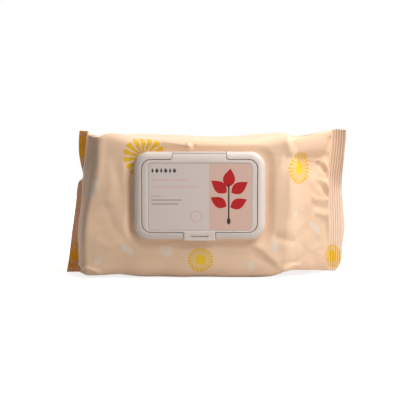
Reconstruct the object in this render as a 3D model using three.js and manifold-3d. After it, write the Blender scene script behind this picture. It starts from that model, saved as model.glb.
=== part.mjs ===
// A pack of wet wipes that stands on its long side: a printed film pouch, sealed at both ends,
// with a moulded flip lid bonded to its front panel.
// Millimetres. +Z is up, X runs along the pack and the lid faces -Y.
// The origin is on the floor, under the middle of the whole pack.

import * as THREE from "three";
import { mergeVertices } from "three/addons/utils/BufferGeometryUtils.js";
import Module from "manifold-3d";

const wasm = await Module();
wasm.setup();

// Pouch, where x = 0 is under the middle of the lid and y = 0 is the middle of the stack
const stackLength = 138;
const stackThickness = 50;
const stackShift = -5.6; // the stack has slid towards the left end of the film
const stackLean = 8.6; // how far its left edge runs out at the foot, and in at the top
const leanFade = 0.25; // share of the stack over which that lean dies out
const sagHeight = 98.8; // height along the middle, where the top panel sags
const leftHeight = 104.2; // and at the two ends, which stand higher
const rightHeight = 106.8;
const sagEnds = 0.3; // shares of the half length between which the top rises to the ends
const riseEnds = 0.85;
const finWidth = 10;
const finThickness = 0.8;
const finLean = 5.4; // the left fin's own lean
const leftReach = 7.6; // from the stack's left edge to the left fin, along x
const rightReach = 32.2;
const leftRounding = 0.6; // share of the reach over which the film turns round the stack's edge
const rightRounding = 0.25;
const longEdgeRound = 6; // set back of the rounding along the pack's long edges
const creaseRound = 0.5; // what is left of it where the film is creased into the fin
const roundLimit = 0.8; // and the most it may take of half the pouch's thickness
const topGusset = 30; // how deep the top panel is tucked in at each fin
const bottomGusset = 20;
const tuckCloses = 0.125; // share of the full thickness below which a tuck is pressed shut
const seamWidth = 12; // lengthwise seam, folded flat on the back
const seamThickness = 0.8;
const seamEndMargin = 9;
const seamBite = 0.5;

// Lid, in a frame of its own: x along the pack, y up the panel, z out of the film
const lidCentreHeight = 60.7;
const glueLine = 0.3;
const baseWidth = 93;
const baseHeight = 62.5;
const baseCorner = 10.5;
const baseDepth = 6.5;
const rimSide = 5.2; // width of the frame's rim at its left and right
const rimEnd = 4.8; // and at its top and foot
const rimRound = 2.5;
const rimWall = 1.2;
const basePlate = 1.2;
const pocketLead = 0.4; // bevel round the mouth of the cover's pocket
const openingWidth = 58; // the opening that the wipes come out of
const openingHeight = 34;
const openingCorner = 12;
const spoutWall = 1.2; // the upstand round that opening
const spoutHeadroom = 1.5; // from the upstand's rim to the cover above it

const coverGap = 0.4; // all round, between the cover and the frame
const coverCorner = 6.5;
const coverRound = 0.9;
const coverPlate = 1.6;
const skirtWall = 1.0;
const seatGap = 0.3; // under the skirt, and between other faces that nearly meet
const plugGap = 0.5; // between the cover's sealing ring and the upstand
const plugWall = 1.0;
const plugFootGap = 0.8; // under that ring
const plugBite = 0.3; // how far its root runs into the cover's plate
const leafWidth = 38; // hinge leaf, from the cover to the frame's top edge
const hingeInset = 0.5; // hinge line in from the frame's top edge
const hingeBelowLeaf = 0.2; // and down from the leaf's underside
const hingeRadius = 0.5;
const hingeClearance = 1.0; // over the wall under the hinge, so that the leaf can turn over
const tabWidth = 22.5;
const tabCorner = 1.2;
const tabOverhang = 0.8; // how far the thumb tab stands out past the frame's foot
const tabProud = 0.3;
const tabLip = 3.4; // depth of the tab's turned-down lip
const gripWidth = 12.7;
const gripHeight = 1.2;
const gripCorner = 0.55;
const gripDepth = 0.5;
const gripFromEdge = 3.1;

const labelSideMargin = 4.65; // from the cover's edge to the label
const labelHeadMargin = 2.85;
const labelFootMargin = 1.85;
const labelCorner = 2.5;
const labelThickness = 0.2;
const recessDepth = 0.6;
const recessSlope = 1.4; // width of the sloping edge round the label

const sealMargin = 4; // from the opening's wall to the peel-off seal on the film inside it
const sealCorner = 9;
const sealThickness = 0.2;
const sealTabLength = 6; // pull tab, at the seal's left end
const sealTabHeight = 9;
const sealTabCorner = 3;
const sealTabMargin = 1;

// How finely curves are stepped
const cornerSteps = 6;
const beadSides = 16;
const roundSteps = 3;
const filletSteps = 3;
const stackSteps = 10;
const panelSteps = 4;
const legSteps = 2;
const taperStops = [0, 0.12, 0.25, 0.45, 0.65, 0.82, 0.93];
const spare = 5; // how far a cutter reaches past what it cuts

// Turns a closed three.js geometry into a solid that can be joined and cut.
function solid(geometry) {
  geometry.deleteAttribute("normal");
  geometry.deleteAttribute("uv");
  const merged = mergeVertices(geometry);
  const mesh = new wasm.Mesh({
    numProp: 3,
    vertProperties: merged.attributes.position.array,
    triVerts: new Uint32Array(merged.index.array),
  });
  return new wasm.Manifold(mesh);
}

function geometryOf(body) {
  const mesh = body.getMesh();
  const geometry = new THREE.BufferGeometry();
  geometry.setAttribute("position", new THREE.BufferAttribute(mesh.vertProperties, 3));
  geometry.setIndex(new THREE.BufferAttribute(mesh.triVerts, 1));
  geometry.computeVertexNormals();
  return geometry;
}

function roundedRect(width, height, corner) {
  const x = width / 2 - corner;
  const y = height / 2 - corner;
  const shape = new THREE.Shape();
  shape.absarc(x, y, corner, 0, Math.PI / 2);
  shape.absarc(-x, y, corner, Math.PI / 2, Math.PI);
  shape.absarc(-x, -y, corner, Math.PI, 1.5 * Math.PI);
  shape.absarc(x, -y, corner, 1.5 * Math.PI, 2 * Math.PI);
  return shape;
}

// A flat body between two levels. Its rims are rounded over by edge, or bevelled to slope wide.
function slab(shape, bottom, top, { edge = 0, slope = edge, steps = roundSteps } = {}) {
  const geometry = new THREE.ExtrudeGeometry(shape, {
    depth: top - bottom - 2 * edge,
    bevelEnabled: edge > 0,
    bevelThickness: edge,
    bevelSize: slope,
    bevelOffset: -slope,
    bevelSegments: steps,
    curveSegments: cornerSteps,
  });
  geometry.translate(0, 0, bottom + edge);
  return solid(geometry);
}

function box(left, right, low, high, bottom, top) {
  const geometry = new THREE.BoxGeometry(right - left, high - low, top - bottom);
  geometry.translate((left + right) / 2, (low + high) / 2, (bottom + top) / 2);
  return solid(geometry);
}

// A slab with only its upper rim rounded over.
function crownedSlab(shape, bottom, top, edge) {
  const reach = baseWidth;
  const below = box(-reach, reach, -reach, reach, bottom - reach, bottom);
  return slab(shape, bottom - 2 * edge, top, { edge }).subtract(below);
}

// The pouch's outline across the pack at one place along it, as points of y and z.
// The top and bottom panels are tucked in by their notches, as they are near the fins.
function pouchSection(half, height, topNotch, bottomNotch, setback) {
  const frontFoot = new THREE.Vector2(-half, 0);
  const frontTop = new THREE.Vector2(-half, height);
  const topTuck = new THREE.Vector2(0, height - topNotch);
  const backTop = new THREE.Vector2(half, height);
  const backFoot = new THREE.Vector2(half, 0);
  const bottomTuck = new THREE.Vector2(0, bottomNotch);
  const corners = [
    { at: frontFoot, round: setback, steps: panelSteps },
    { at: frontTop, round: setback, steps: legSteps },
    { at: topTuck, round: 0, steps: legSteps },
    { at: backTop, round: setback, steps: panelSteps },
    { at: backFoot, round: setback, steps: legSteps },
    { at: bottomTuck, round: 0, steps: legSteps },
  ];
  const towards = (from, to, distance) => {
    const run = to.clone().sub(from);
    return from.clone().addScaledVector(run, distance / run.length());
  };
  const points = [];
  corners.forEach(({ at, round, steps }, i) => {
    const before = corners[(i + corners.length - 1) % corners.length].at;
    const next = corners[(i + 1) % corners.length];
    const arcEnd = towards(at, next.at, round);
    if (round > 0) {
      const arc = new THREE.QuadraticBezierCurve(towards(at, before, round), at, arcEnd);
      points.push(...arc.getPoints(filletSteps));
    } else {
      points.push(at);
    }
    const runEnd = towards(next.at, at, next.round);
    for (let step = 1; step < steps; step += 1) {
      points.push(arcEnd.clone().lerp(runEnd, step / steps));
    }
  });
  return points;
}

// Joins rings of points into one closed body, with a fan over each end.
function skin(rings) {
  const size = rings[0].length;
  const centres = [rings[0], rings.at(-1)].map((ring) => {
    const sum = ring.reduce((total, point) => total.add(point), new THREE.Vector3());
    return sum.divideScalar(size);
  });
  const points = [...rings.flat(), ...centres];
  const startCentre = rings.length * size;
  const endCentre = startCentre + 1;
  const lastRing = (rings.length - 1) * size;
  const faces = [];
  for (let i = 0; i < size; i += 1) {
    const next = (i + 1) % size;
    for (let ring = 0; ring < rings.length - 1; ring += 1) {
      const here = ring * size;
      const there = here + size;
      faces.push(here + i, there + i, there + next);
      faces.push(here + i, there + next, here + next);
    }
    faces.push(startCentre, i, next);
    faces.push(endCentre, lastRing + next, lastRing + i);
  }
  const geometry = new THREE.BufferGeometry().setFromPoints(points);
  geometry.setIndex(faces);
  return geometry;
}

// Share of the full thickness at a place between the stack's edge (0) and the fin (1).
function taper(place, rounding) {
  const slope = 1 / (1 - rounding / 2);
  if (place < rounding) return 1 - (slope * place * place) / (2 * rounding);
  return 1 - slope * (place - rounding / 2);
}

// Film pouch with the wipes inside it, its two end fins and the seam down its back
function pouch() {
  const stackLeft = stackShift - stackLength / 2;
  const stackRight = stackShift + stackLength / 2;
  const leftRoot = stackLeft - leftReach;
  const rightRoot = stackRight + rightReach;
  const leftTip = leftRoot - finWidth;
  const rightTip = rightRoot + finWidth;
  const middle = (leftTip + rightTip) / 2;
  const finHalf = finThickness / 2;
  const stackHalf = stackThickness / 2;

  const heightAt = (x) => {
    const share = (x - leftTip) / (rightTip - leftTip);
    const end = THREE.MathUtils.lerp(leftHeight, rightHeight, share);
    const away = Math.abs(x - middle) / ((rightTip - leftTip) / 2);
    const risen = THREE.MathUtils.smoothstep(away, sagEnds, riseEnds);
    return THREE.MathUtils.lerp(sagHeight, end, risen);
  };

  const leftStops = taperStops.map((place) => ({
    x: stackLeft - leftReach * place,
    full: taper(place, leftRounding),
    lean: THREE.MathUtils.lerp(stackLean, finLean, place),
  }));
  const stackStops = [];
  for (let step = 1; step < stackSteps; step += 1) {
    const share = step / stackSteps;
    const lean = stackLean * Math.max(0, 1 - share / leanFade);
    stackStops.push({ x: stackLeft + stackLength * share, full: 1, lean });
  }
  const rightStops = taperStops.map((place) => ({
    x: stackRight + rightReach * place,
    full: taper(place, rightRounding),
    lean: 0,
  }));
  const stops = [
    { x: leftTip, full: 0, lean: finLean },
    { x: leftRoot, full: 0, lean: finLean },
    ...leftStops.reverse(),
    ...stackStops,
    ...rightStops,
    { x: rightRoot, full: 0, lean: 0 },
    { x: rightTip, full: 0, lean: 0 },
  ];

  const rings = stops.map(({ x, full, lean }) => {
    const half = finHalf + (stackHalf - finHalf) * full;
    const height = heightAt(x);
    const tucked = Math.sqrt(1 - full * full) * Math.min(1, full / tuckCloses);
    const setback = THREE.MathUtils.lerp(creaseRound, longEdgeRound, full);
    const outline = pouchSection(
      half,
      height,
      topGusset * tucked,
      bottomGusset * tucked,
      Math.min(setback, half * roundLimit),
    );
    return outline.map(({ x: y, y: z }) => {
      const leant = lean * ((2 * z) / height - 1);
      return new THREE.Vector3(x + leant, y, z);
    });
  });

  const seamMiddle = sagHeight / 2;
  const seam = box(
    stackLeft + seamEndMargin,
    stackRight - seamEndMargin,
    stackHalf - seamBite,
    stackHalf + seamThickness,
    seamMiddle - seamWidth / 2,
    seamMiddle + seamWidth / 2,
  );
  return solid(skin(rings)).add(seam);
}

// Levels above the film, and half sizes, that the lid's pieces share
const bondLevel = glueLine;
const faceLevel = bondLevel + baseDepth;
const floorLevel = bondLevel + basePlate;
const leafLevel = faceLevel - coverPlate;
const hingeLevel = leafLevel - hingeBelowLeaf;
const hingeWallLevel = hingeLevel - hingeRadius - hingeClearance;
const hingeY = baseHeight / 2 - hingeInset;
const lipLevel = faceLevel - tabLip;
const coverWidth = baseWidth - 2 * (rimSide + coverGap);
const coverHeight = baseHeight - 2 * (rimEnd + coverGap);
const labelWidth = coverWidth - 2 * labelSideMargin;
const labelHeight = coverHeight - labelHeadMargin - labelFootMargin;
const labelDrop = (labelHeadMargin - labelFootMargin) / 2;

const baseOutline = roundedRect(baseWidth, baseHeight, baseCorner);

// Outlines that stand off from the cover and from the opening by a margin
function roundCover(margin) {
  return roundedRect(coverWidth + 2 * margin, coverHeight + 2 * margin, coverCorner + margin);
}

function roundOpening(margin) {
  return roundedRect(
    openingWidth + 2 * margin,
    openingHeight + 2 * margin,
    openingCorner + margin,
  );
}

// Frame of the lid: a plate bonded to the film, with a hollow rim, a pocket for the cover,
// a gap in the rim for the hinge leaf, another for the thumb tab, and the wipes' opening
function lidBase() {
  const above = faceLevel + spare;
  const outside = baseHeight / 2 + spare;
  const leafGap = leafWidth / 2 + coverGap;
  const tabGap = tabWidth / 2 + coverGap;
  const innerWallTop = baseHeight / 2 - rimWall;

  const body = crownedSlab(baseOutline, bondLevel, faceLevel, rimRound);
  const pocket = slab(roundCover(coverGap), floorLevel, above);
  const mouth = slab(roundCover(coverGap + pocketLead), faceLevel - pocketLead, above, {
    edge: pocketLead,
    steps: 1,
  });
  const leafTrough = box(-leafGap, leafGap, 0, innerWallTop, floorLevel, above);
  const leafGate = box(-leafGap, leafGap, 0, outside, hingeWallLevel, above);
  const tabGate = box(-tabGap, tabGap, -outside, 0, lipLevel - seatGap, above);

  const hollowOuter = roundedRect(
    baseWidth - 2 * rimWall,
    baseHeight - 2 * rimWall,
    baseCorner - rimWall,
  );
  const hollowInner = roundCover(coverGap + pocketLead + rimWall);
  const underside = bondLevel - spare;
  const hollowTop = faceLevel - rimWall;
  const leafKeep = box(-leafGap - rimWall, leafGap + rimWall, 0, outside, underside, above);
  const tabKeep = box(-tabGap - rimWall, tabGap + rimWall, -outside, 0, underside, above);
  const hollow = slab(hollowOuter, underside, hollowTop, { edge: rimWall })
    .subtract(slab(hollowInner, underside - spare, above))
    .subtract(leafKeep)
    .subtract(tabKeep);

  const spout = slab(roundOpening(spoutWall), bondLevel, leafLevel - spoutHeadroom);
  const opening = slab(roundOpening(0), underside, above);
  return body
    .subtract(pocket)
    .subtract(mouth)
    .subtract(leafTrough)
    .subtract(leafGate)
    .subtract(tabGate)
    .subtract(hollow)
    .add(spout)
    .subtract(opening);
}

// Cover: a shallow tray that drops into the pocket, with the hinge leaf at its top,
// the thumb tab at its foot, a ring that seals round the upstand and a recess for the label
function flipCover() {
  const skirtLevel = floorLevel + seatGap;
  const below = skirtLevel - spare;
  const tray = crownedSlab(roundCover(0), skirtLevel, faceLevel, coverRound);
  const hollow = slab(roundCover(-skirtWall), below, leafLevel);

  const leafStart = coverHeight / 2 - spare;
  const leafEnd = baseHeight / 2 + spare;
  const leafCut = box(-leafWidth / 2, leafWidth / 2, leafStart, leafEnd, leafLevel, faceLevel);
  const leaf = crownedSlab(baseOutline, bondLevel, faceLevel, rimRound).intersect(leafCut);
  const beadGeometry = new THREE.CylinderGeometry(hingeRadius, hingeRadius, leafWidth, beadSides);
  beadGeometry.rotateZ(Math.PI / 2);
  beadGeometry.translate(0, hingeY, hingeLevel);
  const bead = solid(beadGeometry);

  const tabEnd = -baseHeight / 2 - tabOverhang;
  const tabStart = -coverHeight / 2 + spare;
  const tabTop = faceLevel + tabProud;
  const tabShape = roundedRect(tabWidth, tabStart - tabEnd, tabCorner);
  const tabHollow = box(
    -tabWidth / 2 + rimWall,
    tabWidth / 2 - rimWall,
    tabEnd + rimWall,
    tabStart,
    lipLevel - spare,
    leafLevel,
  );
  const tab = crownedSlab(tabShape, lipLevel, tabTop, coverRound)
    .translate(0, (tabStart + tabEnd) / 2, 0)
    .subtract(tabHollow);
  const footInside = skirtWall - coverHeight / 2;
  const insideTray = box(-tabWidth, tabWidth, footInside, 0, below, leafLevel);
  const grip = slab(
    roundedRect(gripWidth, gripHeight, gripCorner),
    tabTop - gripDepth,
    tabTop + spare,
  ).translate(0, tabEnd + gripFromEdge, 0);

  const plugInside = slab(roundOpening(spoutWall + plugGap), below, leafLevel);
  const plug = slab(
    roundOpening(spoutWall + plugGap + plugWall),
    floorLevel + plugFootGap,
    leafLevel + plugBite,
  ).subtract(plugInside);

  const recessOutline = roundedRect(
    labelWidth + 2 * recessSlope,
    labelHeight + 2 * recessSlope,
    labelCorner + recessSlope,
  );
  const recess = slab(recessOutline, faceLevel - recessDepth, faceLevel + spare, {
    edge: recessDepth,
    slope: recessSlope,
    steps: 1,
  }).translate(0, -labelDrop, 0);

  return tray
    .subtract(hollow)
    .add(tab.subtract(insideTray))
    .add(leaf)
    .add(bead)
    .add(plug)
    .subtract(recess)
    .subtract(grip);
}

// Printed label that lies in the cover's recess
function coverLabel() {
  const outline = roundedRect(labelWidth, labelHeight, labelCorner);
  return slab(outline, 0, labelThickness);
}

// Peel-off seal that closes the cut in the film, with its pull tab at one end
function peelSeal() {
  const tabEnd = sealTabMargin - openingWidth / 2;
  const left = tabEnd + sealTabLength;
  const right = openingWidth / 2 - sealMargin;
  const sheetOutline = roundedRect(right - left, openingHeight - 2 * sealMargin, sealCorner);
  const sheet = slab(sheetOutline, 0, sealThickness).translate((left + right) / 2, 0, 0);
  const tabRoot = left + sealCorner;
  const tabOutline = roundedRect(tabRoot - tabEnd, sealTabHeight, sealTabCorner);
  const tab = slab(tabOutline, 0, sealThickness).translate((tabRoot + tabEnd) / 2, 0, 0);
  return sheet.add(tab);
}

function part(name, body, { color, roughness }) {
  const material = new THREE.MeshStandardMaterial({ color, roughness, metalness: 0 });
  const mesh = new THREE.Mesh(geometryOf(body), material);
  mesh.name = name;
  return mesh;
}

const peachFilm = { color: 0xe9c4a2, roughness: 0.42 };
const paleMoulding = { color: 0xeadcd2, roughness: 0.38 };
const labelStock = { color: 0xdccdc4, roughness: 0.45 };
const sealStock = { color: 0xf2ece6, roughness: 0.4 };

const pouchPart = part("film_pouch", pouch(), peachFilm);
const basePart = part("lid_base", lidBase(), paleMoulding);
const coverPart = part("flip_cover", flipCover(), paleMoulding);
const labelPart = part("cover_label", coverLabel(), labelStock);
const sealPart = part("peel_seal", peelSeal(), sealStock);

// The cover turns about its hinge line, and its label turns with it.
const hinge = new THREE.Group();
hinge.position.set(0, hingeY, hingeLevel);
coverPart.position.set(0, -hingeY, -hingeLevel);
labelPart.position.set(0, -hingeY - labelDrop, faceLevel - recessDepth + seatGap - hingeLevel);
hinge.add(coverPart, labelPart);

// The lid's frame stands upright on the front panel.
const lid = new THREE.Group();
lid.position.set(0, -stackThickness / 2, lidCentreHeight);
lid.rotation.x = Math.PI / 2;
sealPart.position.set(0, 0, glueLine);
lid.add(basePart, sealPart, hinge);

const pack = new THREE.Group();
pack.add(pouchPart, lid);
const extent = new THREE.Box3().setFromObject(pack);
const centre = extent.getCenter(new THREE.Vector3());
pack.position.set(-centre.x, -centre.y, -extent.min.z);

export default pack;
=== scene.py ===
import math

import bmesh
import bpy
import numpy as np
from mathutils import Matrix, Vector


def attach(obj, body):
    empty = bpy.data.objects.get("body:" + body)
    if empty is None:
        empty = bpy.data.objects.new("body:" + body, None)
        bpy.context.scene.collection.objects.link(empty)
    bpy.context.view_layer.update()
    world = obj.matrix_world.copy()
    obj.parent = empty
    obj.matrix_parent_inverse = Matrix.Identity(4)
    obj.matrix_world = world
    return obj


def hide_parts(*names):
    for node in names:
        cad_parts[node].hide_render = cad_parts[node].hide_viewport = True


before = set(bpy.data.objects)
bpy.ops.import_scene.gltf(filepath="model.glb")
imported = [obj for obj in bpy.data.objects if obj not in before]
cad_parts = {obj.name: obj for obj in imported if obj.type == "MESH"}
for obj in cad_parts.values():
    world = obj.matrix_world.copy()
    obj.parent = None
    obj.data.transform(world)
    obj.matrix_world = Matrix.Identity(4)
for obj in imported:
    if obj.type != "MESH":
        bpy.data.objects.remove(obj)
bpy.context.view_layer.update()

# The pouch's film: printed matt PE laminate, formed round the stack of wipes as a tube, with its
# side panels tucked in at both ends and sealed between ribbed jaws into two flat fins.
# Lofted from sections across the pack, in mm, with x = 0 under the middle of the lid.
MM = 0.001
# Middle of the lid in the pack's frame, the lid's size, and the stack's middle and half thickness
LID_X = -4.0
LID_Z = 60.7
LID_HALF_LENGTH, LID_HALF_HEIGHT, LID_CORNER = 46.5, 31.25, 10.5
STACK_MIDDLE_Y = 3.15
HALF_STACK = 25.0
FIN_WIDTH = 10.0
# Half of a fin's thickness, of two films and where the tucked panels lie between them too
FIN_HALF = 0.27
TUCKED_FIN_HALF = 0.42
RIB_PITCH = 1.7
RIB_HEIGHT = 0.55
RIB_SAMPLES = 64


def curve(places, knots):
    """Smooth line through knots of place and value."""
    at, value = np.array(knots, float).T
    slope = np.gradient(value, at)
    places = np.clip(places, at[0], at[-1])
    i = np.clip(np.searchsorted(at, places) - 1, 0, len(at) - 2)
    width = at[i + 1] - at[i]
    t = (places - at[i]) / width
    return (
        (2 * t**3 - 3 * t**2 + 1) * value[i]
        + (t**3 - 2 * t**2 + t) * width * slope[i]
        + (3 * t**2 - 2 * t**3) * value[i + 1]
        + (t**3 - t**2) * width * slope[i + 1]
    )


def ease(value, start, end):
    """Soft step from 0 at start to 1 at end, whichever of them is the greater."""
    t = np.clip((value - start) / (end - start), 0, 1)
    return t * t * (3 - 2 * t)


# Along the pack from the lid's middle, by height: where the fins start and where the film turns
# round the stack
LEFT_ROOT = [
    (0, -88), (10, -87.2), (30, -86.5), (52, -85), (68, -83.6), (84, -81.8), (100, -81), (107, -80.8),
]
LEFT_EDGE = [
    (0, -80.3), (30, -80), (52, -77.6), (66, -74), (76, -71.4), (86, -69.6), (100, -68.6), (107, -68.4),
]
RIGHT_EDGE = [(0, 59.2), (10, 60.4), (40, 62.6), (70, 63.8), (107, 63.0)]
RIGHT_ROOT = [(0, 95), (30, 95.4), (71, 94.1), (100, 96.3), (107, 96.3)]
# How wide the fins are, how far in degrees the left one is bent back and how far in mm the right
# one is swayed, by height
LEFT_FIN = [
    (0, 9.8), (20, 8.4), (33, 7.8), (50, 7.2), (62, 7.2), (66, 7.4), (74, 7.8), (84, 9), (107, 9.2),
]
RIGHT_FIN = [
    (0, 4.2), (3, 6.6), (8, 8.8), (20, 9.8), (32, 11.4), (50, 10.6), (71, 9.8), (90, 9.2), (107, 9.4),
]
LEFT_BEND = [
    (0, 2), (10, 8), (27, 22), (40, 32), (52, 38), (64, 44), (66.6, 50),
    (69, 73), (72, 71), (78, 58), (86, 45), (95, 40), (107, 44),
]
RIGHT_SWAY = [
    (0, 0), (12, 1), (30, 2.6), (55, 3.0), (66, 2.4), (72, -1.4), (80, -5), (92, -6.4), (107, -7),
]

# Half thickness from the stack's edge (0) to the fin (1), as a share of the stack's own
LEFT_TAPER = [
    (0, 1), (0.15, 0.98), (0.35, 0.91), (0.55, 0.79), (0.72, 0.64), (0.86, 0.44), (0.95, 0.23), (1, 0.016),
]
RIGHT_TAPER = [
    (0, 1), (0.06, 0.97), (0.2, 0.79), (0.35, 0.56), (0.46, 0.4), (0.6, 0.27), (0.8, 0.12), (1, 0.016),
]

# Height of the front and back panels' top and bottom edges along the pack
FRONT_TOP = [
    (-97, 104), (-82, 104.2), (-72, 104.4), (-56, 101.8), (-40, 100.6), (-20, 99.7), (0, 99.2),
    (40, 99.2), (52, 100.2), (60, 102), (69, 103.8), (80, 103.8), (90, 104.8), (96, 105.6), (107, 105.7),
]
BACK_TOP = [
    (-97, 104), (-88, 103.2), (-82, 101.4), (-76, 100.4), (-66, 100.2), (-50, 100.4), (-30, 99.8), (0, 98.8),
    (30, 98.8), (45, 100), (60, 101), (72, 100.8), (82, 102.2), (90, 104), (96, 105.4), (107, 105.7),
]
FRONT_FOOT = [
    (-98, 0), (-91, 0.2), (-87.5, 0.9), (-84, 1.8), (-78, 2), (-70, 1.6), (-60, 1.2), (-46, 0.4),
    (-20, 0.1), (0, 0), (40, 0), (52, 0.2), (58, 0.8), (62, 2.2), (70, 2.7), (80, 2), (90, 1.2), (107, 1),
]
BACK_FOOT = [(-98, 0), (-60, 0), (52, 0), (64, 2), (90, 1.4), (107, 1)]

# How far the rounding of the long edges reaches: along the bottom, along the top, and where the
# film is creased; and the most it takes of half the thickness
FOOT_ROUND = [(-98, 1.6), (-84, 2.4), (-70, 5.4), (-50, 7.4), (107, 7.4)]
TOP_ROUND = 5.2
CREASE_ROUND = 0.4
TUCK_ROUND = 1.5
ROUND_LIMIT = 0.8

# How deep the top and bottom panels are tucked in at each end, and the half thickness over which
# a tuck is pressed shut
LEFT_TUCKS = (38, 13)
RIGHT_TUCKS = (34, 18)
TUCK_SHUTS = (0.45, 1.6)

# Shares along the five zones: left fin, left end, stack, right end and right fin
zone_shares = [
    np.linspace(0, 1, RIB_SAMPLES),
    np.linspace(0, 1, 26)[1:],
    np.linspace(0, 1, 118)[1:],
    np.linspace(0, 1, 68)[1:],
    np.linspace(0, 1, RIB_SAMPLES)[1:],
]
LEFT_FIN_ZONE, LEFT_END, STACK, RIGHT_END, RIGHT_FIN_ZONE = range(5)
zone = np.concatenate([np.full(len(shares), k) for k, shares in enumerate(zone_shares)])
share = np.concatenate(zone_shares)


def along(zone_index, part, height):
    """Distance along the pack of a place in one zone, at each height."""
    left_root, left_edge = curve(height, LEFT_ROOT), curve(height, LEFT_EDGE)
    right_edge, right_root = curve(height, RIGHT_EDGE), curve(height, RIGHT_ROOT)
    left_tip = left_root - curve(height, LEFT_FIN)
    right_tip = right_root + curve(height, RIGHT_FIN)
    lines = [left_tip, left_root, left_edge, right_edge, right_root, right_tip]
    return lines[zone_index] * (1 - part) + lines[zone_index + 1] * part


def spaced(count):
    """Shares from 0 to 1 that crowd towards both ends, where the film turns a corner."""
    t = np.linspace(0, 1, count + 1)[:-1]
    return t - 0.09 * np.sin(2 * math.pi * t)


# Points round one section: front panel, top panel's two halves, back panel, bottom's two halves;
# and where each ends on the film laid flat
PANELS = [spaced(108), spaced(18), spaced(18), spaced(64), spaced(16), spaced(16)]
PANEL_ENDS = [0, 100, 125, 150, 250, 275, 300]
FRONT_PANEL, HEAD_BACK_HALF, BACK_PANEL, FOOT_FRONT_HALF = 0, 2, 3, 5


def corner_arc(before, at, after, setback):
    """Three-point curve round a corner, split at its middle."""
    start = at + (before - at) / max(np.linalg.norm(before - at), 1e-9) * setback
    end = at + (after - at) / max(np.linalg.norm(after - at), 1e-9) * setback
    t = np.linspace(0, 1, 17)[:, None]
    return (1 - t) ** 2 * start + 2 * t * (1 - t) * at + t**2 * end


def section(half, tops, feet, tucks, setbacks):
    """Points round the film across the pack: y from the stack's middle, and height."""
    corners = np.array([
        (-half, feet[0]), (-half, tops[0]), (0, sum(tops) / 2 - tucks[0]),
        (half, tops[1]), (half, feet[1]), (0, sum(feet) / 2 + tucks[1]),
    ])
    arcs = []
    for k in range(6):
        arcs.append(corner_arc(corners[k - 1], corners[k], corners[(k + 1) % 6], setbacks[k]))
    ring = []
    for k, shares in enumerate(PANELS):
        line = np.vstack([arcs[k][8:], arcs[(k + 1) % 6][:9]])
        length = np.concatenate([[0], np.cumsum(np.linalg.norm(np.diff(line, axis=0), axis=1))])
        at = shares * length[-1]
        ring.append(np.column_stack([np.interp(at, length, line[:, c]) for c in (0, 1)]))
    return np.vstack(ring)


panel_of = np.concatenate([np.full(len(s), k) for k, s in enumerate(PANELS)])
girth = np.concatenate([
    PANEL_ENDS[k] + shares * (PANEL_ENDS[k + 1] - PANEL_ENDS[k]) for k, shares in enumerate(PANELS)
])
MID_HEIGHT = 50.0
middle_x = np.array([float(along(k, t, np.array([MID_HEIGHT]))[0]) for k, t in zip(zone, share)])
# The right end's top and bottom edges run straight to the fin: the heights over which they set in
STRAIGHT_TOP = (79, 99)
STRAIGHT_FOOT = (36, 5)
film = np.zeros((len(zone), len(panel_of), 3))
fullness = np.zeros(len(zone))
for i, (k, t) in enumerate(zip(zone, share)):
    full = 1.0
    if k in (LEFT_FIN_ZONE, RIGHT_FIN_ZONE):
        full = FIN_HALF / HALF_STACK
    if k == LEFT_END:
        full = float(curve(np.array([1 - t]), LEFT_TAPER)[0])
    if k == RIGHT_END:
        full = float(curve(np.array([t]), RIGHT_TAPER)[0])
    full = max(full, FIN_HALF / HALF_STACK)
    fullness[i] = full
    half = HALF_STACK * full
    spread = math.sqrt(max(0, 1 - full * full))
    shut = float(ease(half, *TUCK_SHUTS))
    deepest = LEFT_TUCKS if k < STACK else RIGHT_TUCKS
    place = np.array([middle_x[i]])
    tops = [float(curve(place, edge)[0]) for edge in (FRONT_TOP, BACK_TOP)]
    feet = [float(curve(place, edge)[0]) for edge in (FRONT_FOOT, BACK_FOOT)]
    top_round = min(CREASE_ROUND + TOP_ROUND * full, half * ROUND_LIMIT)
    foot_round = min(CREASE_ROUND + float(curve(place, FOOT_ROUND)[0]) * full, half * ROUND_LIMIT)
    tuck_round = min(TUCK_ROUND, half * 0.5)
    ring = section(
        half, tops, feet, (deepest[0] * spread * shut, deepest[1] * spread * shut),
        (foot_round, top_round, tuck_round, top_round, foot_round, tuck_round),
    )
    if k == RIGHT_END:
        straight = (1 - t) + t * FIN_HALF / HALF_STACK
        near_edge = np.maximum(ease(ring[:, 1], *STRAIGHT_TOP), 0.8 * ease(ring[:, 1], *STRAIGHT_FOOT))
        ring[:, 0] *= 1 + (straight / full - 1) * near_edge * shut
    film[i, :, 0] = along(k, t, ring[:, 1])
    film[i, :, 1:] = ring

front = panel_of == FRONT_PANEL
back = panel_of == BACK_PANEL
x, z = film[..., 0], film[..., 2]

# Film stands a little off the stack all round, but lies flat where the lid is bonded to it, and
# its front leans back at the upper left
FRONT_BULGE = 2.95
UPPER_LEFT_LEAN = 1.1
BACK_BULGE = 1.3
lid_away = np.hypot(
    np.maximum(np.abs(x) - (LID_HALF_LENGTH - LID_CORNER), 0),
    np.maximum(np.abs(z - LID_Z) - (LID_HALF_HEIGHT - LID_CORNER), 0),
) - LID_CORNER
panel_start = np.where(panel_of == FRONT_PANEL, PANEL_ENDS[FRONT_PANEL], PANEL_ENDS[BACK_PANEL])
panel_share = ((girth - panel_start) / PANEL_ENDS[FRONT_PANEL + 1])[None, :]
inside_panel = np.sin(math.pi * np.clip(panel_share, 0, 1))
puff = np.zeros_like(x)
puff[:, front] = (FRONT_BULGE * ease(lid_away, 0.2, 8.5) * inside_panel**0.4)[:, front]
puff[:, front] -= (UPPER_LEFT_LEAN * ease(-x, 44, 74) * ease(z, 28, 62) * inside_panel)[:, front]
puff[:, back] = (BACK_BULGE * inside_panel**0.7)[:, back]

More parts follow.
